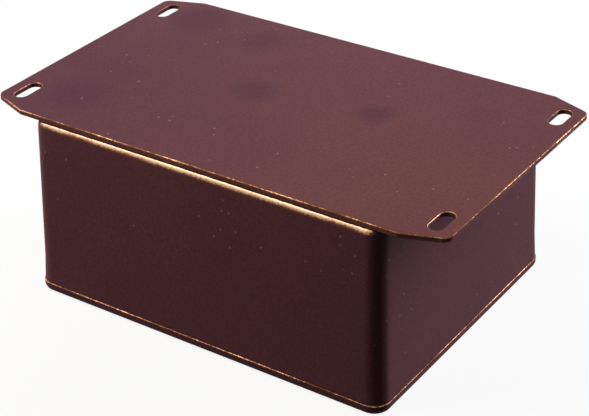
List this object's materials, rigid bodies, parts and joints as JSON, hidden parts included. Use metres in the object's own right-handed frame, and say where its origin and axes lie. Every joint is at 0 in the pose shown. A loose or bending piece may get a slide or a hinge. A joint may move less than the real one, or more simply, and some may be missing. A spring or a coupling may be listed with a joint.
{
  "type": "flanged die cast enclosure",
  "caption": "Rectangular die-cast aluminium box with drafted walls, a slotted mounting flange across its back, and a screwed lid.",
  "frame": {"origin": "centre of the lid's flat outer face, on which the box stands", "axes": "+Z from the lid to the mounting flange, +Y along the length, +X across the width"},
  "size_m": [0.094, 0.1496, 0.058],
  "materials": {
    "casting": "dark brown satin cast metal, worn to gold at the edges",
    "lid_casting": "dark brown satin cast metal, worn to gold at the edges",
    "screw_steel": "plated steel, satin"
  },
  "bodies": {
    "root": {"box_body": "casting", "lid": "lid_casting", "lid_screw_front_left": "screw_steel", "lid_screw_front_right": "screw_steel", "lid_screw_back_left": "screw_steel", "lid_screw_back_right": "screw_steel"}
  },
  "joints": []
}
